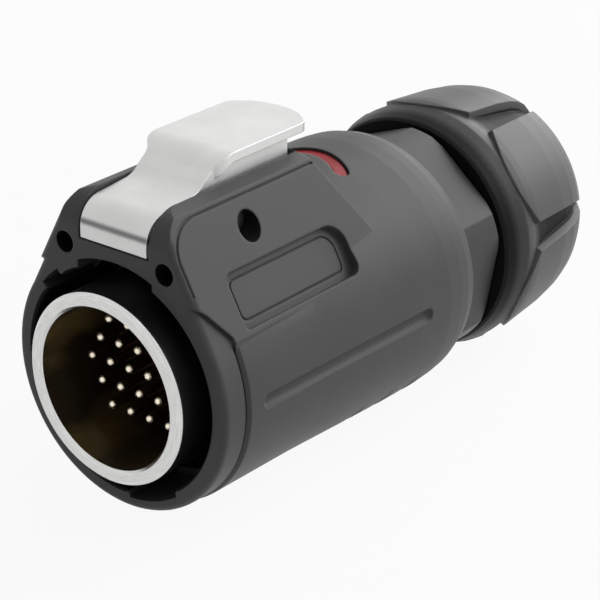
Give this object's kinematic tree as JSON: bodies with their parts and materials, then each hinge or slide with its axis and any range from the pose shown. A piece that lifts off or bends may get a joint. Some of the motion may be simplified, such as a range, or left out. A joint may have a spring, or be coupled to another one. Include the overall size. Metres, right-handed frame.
{
  "type": "push pull circular connector",
  "caption": "Round push pull cable plug with a sprung latch lever on a hump, a metal coupling barrel round the contacts, a hexagonal rear shell and a lobed gland nut.",
  "frame": {"origin": "centre of the coupling barrel's mouth, on the plug's axis", "axes": "+X along the plug's axis towards the cable, +Z towards the latch lever"},
  "size_m": [0.0696, 0.0304, 0.0374],
  "materials": {
    "black_plastic": "fine moulded grain, satin black",
    "barrel_metal": "turned, bright at the mouth",
    "nickel_plate": "satin nickel plating",
    "steel": "plain",
    "brown_insulator": "smooth moulded",
    "contact_metal": "gold plated",
    "red_plastic": "smooth moulded",
    "black_rubber": "matt",
    "white_plastic": "smooth"
  },
  "bodies": {
    "housing": {"main_housing": "black_plastic", "coupling_barrel": "barrel_metal", "barrel_gasket": "black_rubber", "barrel_ring_nut": "barrel_metal", "contact_insert": "brown_insulator", "insert_retaining_ring": "barrel_metal", "lock_indicator": "red_plastic", "pivot_pin": "steel", "latch_spring": "steel", "rear_shell": "black_plastic", "body_seal": "black_rubber", "cable_grommet": "black_rubber", "slip_washer": "white_plastic", "contact_pin_01": "contact_metal", "contact_pin_02": "contact_metal", "contact_pin_03": "contact_metal", "contact_pin_04": "contact_metal", "contact_pin_05": "contact_metal", "contact_pin_06": "contact_metal", "contact_pin_07": "contact_metal", "contact_pin_08": "contact_metal", "contact_pin_09": "contact_metal", "contact_pin_10": "contact_metal", "contact_pin_11": "contact_metal", "contact_pin_12": "contact_metal", "contact_pin_13": "contact_metal", "contact_pin_14": "contact_metal", "contact_pin_15": "contact_metal", "contact_pin_16": "contact_metal", "contact_pin_17": "contact_metal", "contact_pin_18": "contact_metal", "contact_pin_19": "contact_metal", "contact_pin_20": "contact_metal", "contact_pin_21": "contact_metal", "contact_pin_22": "contact_metal", "contact_pin_23": "contact_metal", "contact_pin_24": "contact_metal"},
    "latch": {"latch_lever": "nickel_plate"},
    "clamp": {"clamp_claw": "black_plastic"},
    "nut": {"tail_nut": "black_plastic"}
  },
  "joints": [
    {"name": "latch_pivot", "type": "hinge", "parent": "housing", "child": "latch", "pos_m": [0.0133, 0, 0.0155], "axis": [0, 1, 0], "range_deg": [0, 7], "stiffness_Nm_per_rad": 0.16, "springref_deg": -11.46, "deforming": ["latch_spring"]},
    {"name": "gland_slide", "type": "slide", "parent": "housing", "child": "clamp", "axis": [1, 0, 0], "range_m": [0, 0.0031]},
    {"name": "nut_turn", "type": "hinge", "parent": "clamp", "child": "nut", "pos_m": [0.06, 0, 0], "axis": [1, 0, 0], "range_deg": [0, 720]}
  ],
  "couplings": [
    {"joint": "gland_slide", "follows": "nut_turn", "m_per_rad": 0.00023873}
  ]
}
